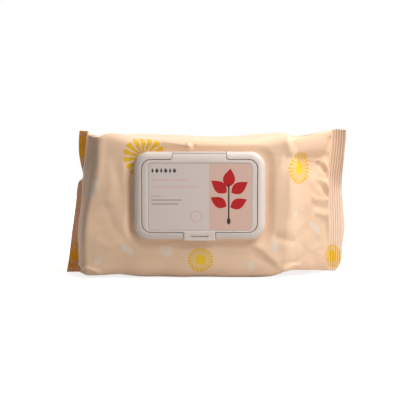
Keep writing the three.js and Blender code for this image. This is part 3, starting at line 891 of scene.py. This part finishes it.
# Outline of the cover's head, with its hinge leaf, which the frame's rim is open for
HEAD = [
    (COVER_W / 2, COVER_H / 2, COVER_CORNER), (LEAF_HALF, COVER_H / 2, 1.9), (LEAF_HALF, OFF_RIM, 0.1),
    (-LEAF_HALF, OFF_RIM, 0.1), (-LEAF_HALF, COVER_H / 2, 1.9), (-COVER_W / 2, COVER_H / 2, COVER_CORNER),
]
FACE_HOLE = [
    (-COVER_W / 2, -COVER_H / 2, COVER_CORNER), (-TAB_GAP_HALF, -COVER_H / 2, 0.7),
    (-TAB_GAP_HALF, -OFF_RIM, 0.1), (TAB_GAP_HALF, -OFF_RIM, 0.1),
    (TAB_GAP_HALF, -COVER_H / 2, 0.7), (COVER_W / 2, -COVER_H / 2, COVER_CORNER),
] + HEAD
lid_frame = moulding("lid_frame", BASE, [(0, BOND)] + rounded(RIM_ROUND, FACE, 12, 5.2), 20)
for corners, profile, steps in [
    # The mouth of the pocket, the pocket, the rests of the leaf and the tab, and the opening
    (FACE_HOLE, [(-GAP, 3.5)] + flared(MOUTH_ROUND, FACE, -GAP), 14),
    (block(COVER_W, COVER_H, COVER_CORNER), [(-GAP, POCKET_FLOOR), (-GAP, 4.6)], 14),
    (block(38.8, 30.05, 0.5, (0, 15.025)), [(0, POCKET_FLOOR), (0, 4.7)], 4),
    (block(23.3, OFF_RIM, 0.5, (0, -OFF_RIM / 2)), [(0, 3.1), (0, 4.8)], 4),
    (OPENING, [(0, -3), (0, 12)], 14),
]:
    carve(lid_frame, moulding("cutter", corners, profile, steps))
spout_edge = [(inset - SPOUT_WALL, level) for inset, level in rounded(SPOUT_ROUND, SPOUT_TOP, 4)]
spout = moulding("spout", OPENING, [(-SPOUT_WALL, BOND), (-SPOUT_WALL, 3.3)] + spout_edge, 14)
carve(spout, moulding("cutter", OPENING, [(0, -3)] + flared(MOUTH_ROUND, SPOUT_TOP, 0.0), 14))
carve(lid_frame, spout, "UNION")
finish_moulding(lid_frame, 32)
lid_frame.data.materials.append(polypropylene)
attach(lid_frame, "pack")
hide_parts("lid_base")

# Flip cover: a second polypropylene moulding. A shallow tray with a hinge leaf at its head, a
# thumb tab with a moulded grip at its foot, a sealing ring under it and a recess for the label.
LEAF_LEVEL = 5.2
COVER_ROUND = 0.7
SKIRT_WALL = 1.0
TAB_FACE = 7.1
cover_outline = [
    (-COVER_W / 2, -COVER_H / 2, COVER_CORNER), (COVER_W / 2, -COVER_H / 2, COVER_CORNER),
] + HEAD
cover = moulding("lid_cover", cover_outline, [(0, LEAF_LEVEL)] + rounded(COVER_ROUND, FACE, 6), 14)
carve(cover, moulding("cutter", BASE, [(0, BOND)] + rounded(RIM_ROUND, FACE, 12, 8), 20), "INTERSECT")
skirt_outline = block(COVER_W, COVER_H, COVER_CORNER)
skirt = moulding("skirt", skirt_outline, [(0.25, 1.8), (0, 2.1), (0, 5.6)], 14)
skirt_room = block(COVER_W - 2 * SKIRT_WALL, COVER_H - 2 * SKIRT_WALL, COVER_CORNER - SKIRT_WALL)
carve(skirt, moulding("cutter", skirt_room, [(-0.1, 0), (0, 2.5), (0.1, LEAF_LEVEL)], 14))
carve(cover, skirt, "UNION")

# Thumb tab: a lip that turns down over the frame's foot, hollow behind
tab_outline = block(22.5, 11, 1.2, (0, -26.55))
tab = moulding("tab", tab_outline, [(0.2, 3.4), (0, 3.6)] + rounded(COVER_ROUND, TAB_FACE, 6), 8)
for hollow, steps in ((block(20.1, 12, 0.8, (0, -24.85)), 6), (block(60, 30, 0.5, (0, -10.05)), 2)):
    carve(tab, moulding("cutter", hollow, [(0, 0), (0, LEAF_LEVEL)], steps))
carve(cover, tab, "UNION")

# Sealing ring under the cover, which closes round the upstand
RING_INSIDE, RING_OUTSIDE = 1.7, 2.7
ring_outline = block(OPENING_LENGTH + 2 * RING_OUTSIDE, OPENING_HEIGHT + 2 * RING_OUTSIDE, 14.7)
ring = moulding("ring", ring_outline, [(0.3, 2.3), (0, 2.7), (0, 5.5)], 14)
ring_room = block(OPENING_LENGTH + 2 * RING_INSIDE, OPENING_HEIGHT + 2 * RING_INSIDE, 13.7)
carve(ring, moulding("cutter", ring_room, [(-0.2, 1), (0, 2.6), (0, LEAF_LEVEL)], 14))
carve(cover, ring, "UNION")

# Round bead along the leaf's head edge, where the lid's hinge bends
BEAD_RADIUS = 0.5
BEAD_SIDES = 24
bead_points = []
for side in (-18.95, 18.95):
    for step in range(BEAD_SIDES):
        a = 2 * math.pi * step / BEAD_SIDES
        rim_point = (side, 30.75 + BEAD_RADIUS * math.cos(a), 5.0 + BEAD_RADIUS * math.sin(a))
        bead_points.append(Vector(rim_point) * MM)
bead_faces = []
for step in range(BEAD_SIDES):
    n = (step + 1) % BEAD_SIDES
    bead_faces.append((step, n, BEAD_SIDES + n, BEAD_SIDES + step))
bead_faces += [tuple(range(BEAD_SIDES))[::-1], tuple(range(BEAD_SIDES, 2 * BEAD_SIDES))]
bead_mesh = bpy.data.meshes.new("bead")
bead_mesh.from_pydata(bead_points, [], bead_faces)
carve(cover, in_scene("bead", bead_mesh), "UNION")

# The label's recess, with a sloping edge, and the grip's groove in the tab
LABEL_DROP = 0.5
RECESS = block(72.5, 47.4, 2.5, (0, -LABEL_DROP))
recess_edge = [(0, 6.2), (-0.75, 6.62), (-1.0, 6.74), (-1.25, 6.79), (-1.5, 6.81), (-1.5, 9)]
carve(cover, moulding("cutter", RECESS, recess_edge, 12))
grip = block(12.9, 1.35, 0.5, (0, -28.8))
carve(cover, moulding("cutter", grip, [(0.1, 5.7), (0, 5.85)] + flared(0.15, TAB_FACE, 0.0, 4), 8))
finish_moulding(cover, 32)
cover.data.materials.append(polypropylene)
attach(cover, "cover")
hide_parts("flip_cover")

# Cover label: printed self-adhesive paper with a matt varnish, die cut with round corners and
# laid in the cover's recess. Its print is plain ornament: a sprig, a ring, drops, bars and rules.
label = moulding("label_sheet", RECESS, [(0.02, 6.45), (0, 6.5), (0, 6.66), (0.05, 6.7)], 12)
label_map = label.data.uv_layers.new(name="label_flat")
for loop in label.data.loops:
    spot = label.data.vertices[loop.vertex_index].co
    label_map.data[loop.index].uv = (spot.x, spot.y + LABEL_DROP * MM)
finish_moulding(label, 40)
paper = new_material("varnished_label_paper")
label_place = add(paper, "UVMap", uv_map="label_flat")
LEAF_LEAN, LEAF_BLEED = -0.35, 0.2


def leaf_print(centre, length, width, turn):
    """Share of ink of a leaf, pointed at its far end."""
    return pointed_print(paper, label_place, centre, length, width, turn, LEAF_LEAN, LEAF_BLEED / length)


def bar_print(centre, length, height):
    """Share of ink of a bar with round ends."""
    local = add(paper, "VectorMath", label_place, (centre[0] * MM, centre[1] * MM, 0), operation="SUBTRACT")
    size = add(paper, "VectorMath", local, operation="ABSOLUTE")
    corner = min(length, height) / 2
    inner = ((length / 2 - corner) * MM, (height / 2 - corner) * MM, 0)
    past = add(paper, "VectorMath", size, inner, operation="SUBTRACT")
    beyond = add(paper, "VectorMath", past, (0, 0, 0), operation="MAXIMUM")
    away = add(paper, "VectorMath", beyond, operation="LENGTH").outputs["Value"]
    return add(paper, "MapRange", away, (corner + 0.1) * MM, (corner - 0.1) * MM, 0.0, 1.0)


label_x = add(paper, "SeparateXYZ", label_place)
panel = add(paper, "MapRange", label_x.outputs[0], 6.7 * MM, 6.9 * MM, 0.0, 1.0)
red_leaves = together(paper, [
    leaf_print((21.0, 13.6), 13.5, 8.4, 82),
    leaf_print((13.8, 7.4), 14.0, 8.0, 142),
    leaf_print((28.4, 6.8), 14.0, 8.0, 34),
    leaf_print((13.4, -3.6), 13.0, 7.4, 150),
    leaf_print((27.8, -4.6), 13.0, 7.4, 26),
])
stem = together(paper, [bar_print((20.7, -4.6), 1.1, 27.0), leaf_print((20.7, -17.0), 6.0, 2.6, 90)])
drops = together(paper, [
    leaf_print((-33.2 + 3.1 * k, 18.9), 3.4, 2.3 if k % 2 else 1.5, 90) for k in range(6)
])
pink_bars = together(paper, [bar_print((-21.0, 12.1), 26.0, 1.7), bar_print((-17.5, 7.1), 33.5, 1.7)])
rules = together(paper, [
    bar_print((-30.5, 0.7), 6.4, 0.45),
    bar_print((-23.4, -2.2), 21.5, 1.0),
    bar_print((-24.6, -5.0), 19.0, 1.0),
])
ring_at = add(paper, "VectorMath", label_place, (-2.1 * MM, -13.9 * MM, 0), operation="SUBTRACT")
ring_away = add(paper, "VectorMath", ring_at, operation="LENGTH").outputs["Value"]
ring_off = add(paper, "Math", ring_away, 3.9 * MM, operation="SUBTRACT")
ring_line = add(paper, "Math", ring_off, operation="ABSOLUTE")
ring_ink = add(paper, "MapRange", ring_line, 0.75 * MM, 0.5 * MM, 0.0, 1.0)
# The paper's fibres, 1.1 mm long here, which is as fine as shows
fibres = add(paper, "TexNoise", named={"Vector": label_place, "Scale": 1 / (1.1 * MM), "Detail": 3.0})
shown = add(paper, "Mix", data_type="RGBA", named={0: fibres, 6: linear("#e2d2ca"), 7: linear("#e6d7cf")})
for share_inked, strength, colour in [
    (panel, 1.0, "#e4bfae"),
    (pink_bars, 0.75, "#e6c6bd"),
    (ring_ink, 0.8, "#e4bdb3"),
    (rules, 0.55, "#8b7a72"),
    (drops, 0.92, "#2c2322"),
    (red_leaves, 0.98, "#bd0f16"),
    (stem, 0.95, "#1c0c09"),
]:
    share_shown = add(paper, "Math", share_inked, strength, operation="MULTIPLY")
    shown = add(paper, "Mix", data_type="RGBA", named={
        0: share_shown, 6: shown.outputs[2], 7: linear(colour),
    })
paper_bump = add(paper, "Bump", named={"Strength": 0.2, "Distance": 0.02 * MM, "Height": fibres})
paper_sheen = add(paper, "MapRange", fibres, 0.3, 0.7, 0.4, 0.5)
paper_skin = add(paper, "BsdfPrincipled", named={
    "Base Color": shown.outputs[2], "Roughness": paper_sheen, "IOR": 1.5, "Specular IOR Level": 0.25,
    "Normal": paper_bump,
})
add(paper, "OutputMaterial", paper_skin)
label.data.materials.append(paper)
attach(label, "cover")
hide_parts("cover_label")

# Studio: a sheet of white paper under the pack and a plain room round it, both of which show
# white but light the pack only dimly. Three soft lamps stand at the right, overhead, at brow
# height and low in front, and one behind at the left.
FLOOR_HALF = 0.42
FLOOR_LIFT = 0.8
ROOM_LIGHT = 0.12
floor_mesh = bpy.data.meshes.new("studio_floor")
floor_corners = [(a * FLOOR_HALF, b * FLOOR_HALF, 0) for a, b in ((-1, -1), (1, -1), (1, 1), (-1, 1))]
floor_mesh.from_pydata(floor_corners, [], [(0, 1, 2, 3)])
floor = in_scene("studio_floor", floor_mesh)


def in_view(material):
    """1 where the camera sees it, straight or in gloss or glass, and 0 where it lights the pack."""
    path = add(material, "LightPath")
    seen = path.outputs["Is Camera Ray"]
    for kind in ("Is Glossy Ray", "Is Transmission Ray"):
        seen = add(material, "Math", seen, path.outputs[kind], operation="MAXIMUM")
    return seen


sweep = new_material("white_paper_sweep")
glow = add(sweep, "Math", in_view(sweep), FLOOR_LIFT, operation="MULTIPLY")
paper_sheet = add(sweep, "BsdfDiffuse", linear("#c4c4c4"))
lift = add(sweep, "Emission", (1, 1, 1, 1), glow)
both = add(sweep, "AddShader", paper_sheet, lift)
add(sweep, "OutputMaterial", both)
floor_mesh.materials.append(sweep)

room = bpy.data.worlds.new("studio")
room.use_nodes = True
room.node_tree.nodes.clear()
room_level = add(room, "MapRange", in_view(room), 0.0, 1.0, ROOM_LIGHT, 1.0)
backing = add(room, "Background", (1, 1, 1, 1), room_level)
add(room, "OutputWorld", backing)
bpy.context.scene.world = room

# Place and width in metres, and power in watts
for name, place, size, power in [
    ("top_lamp", (0.2, -0.08, 0.5), 0.25, 1.95),
    ("brow_lamp", (0.26, -0.24, 0.42), 0.25, 0.95),
    ("low_lamp", (0.28, -0.3, 0.06), 0.15, 0.34),
    ("back_lamp", (-0.25, 0.5, 0.25), 0.3, 1.6),
]:
    lamp = bpy.data.lights.new(name, "AREA")
    lamp.shape = "SQUARE"
    lamp.size = size
    lamp.energy = power
    stand = in_scene(name, lamp)
    stand.location = place
    stand.visible_camera = False
    towards_pack = Vector((0, 0, 0.05)) - Vector(place)
    stand.rotation_euler = towards_pack.to_track_quat("-Z", "Y").to_euler()

# Camera: 8 degrees above the horizon and a metre from the lid's face, aimed just below and to the
# right of the lid's middle, as the photograph is framed
ELEVATION = math.radians(8)
LID_FACE_Y = -28.65
VIEW_RIGHT_OF_LID, VIEW_BELOW_LID = 0.354, 2.62
up = Vector((0, math.sin(ELEVATION), math.cos(ELEVATION)))
ahead = Vector((0, math.cos(ELEVATION), -math.sin(ELEVATION)))
aim = Vector((LID_X + VIEW_RIGHT_OF_LID, LID_FACE_Y, LID_Z)) * MM - up * (VIEW_BELOW_LID * MM)
camera = in_scene("camera", bpy.data.cameras.new("camera"))
camera.data.sensor_width = 36
camera.data.lens = 127.06
camera.location = aim - ahead
camera.rotation_euler = ahead.to_track_quat("-Z", "Y").to_euler()
bpy.context.scene.camera = camera
bpy.context.scene.view_settings.view_transform = "Standard"
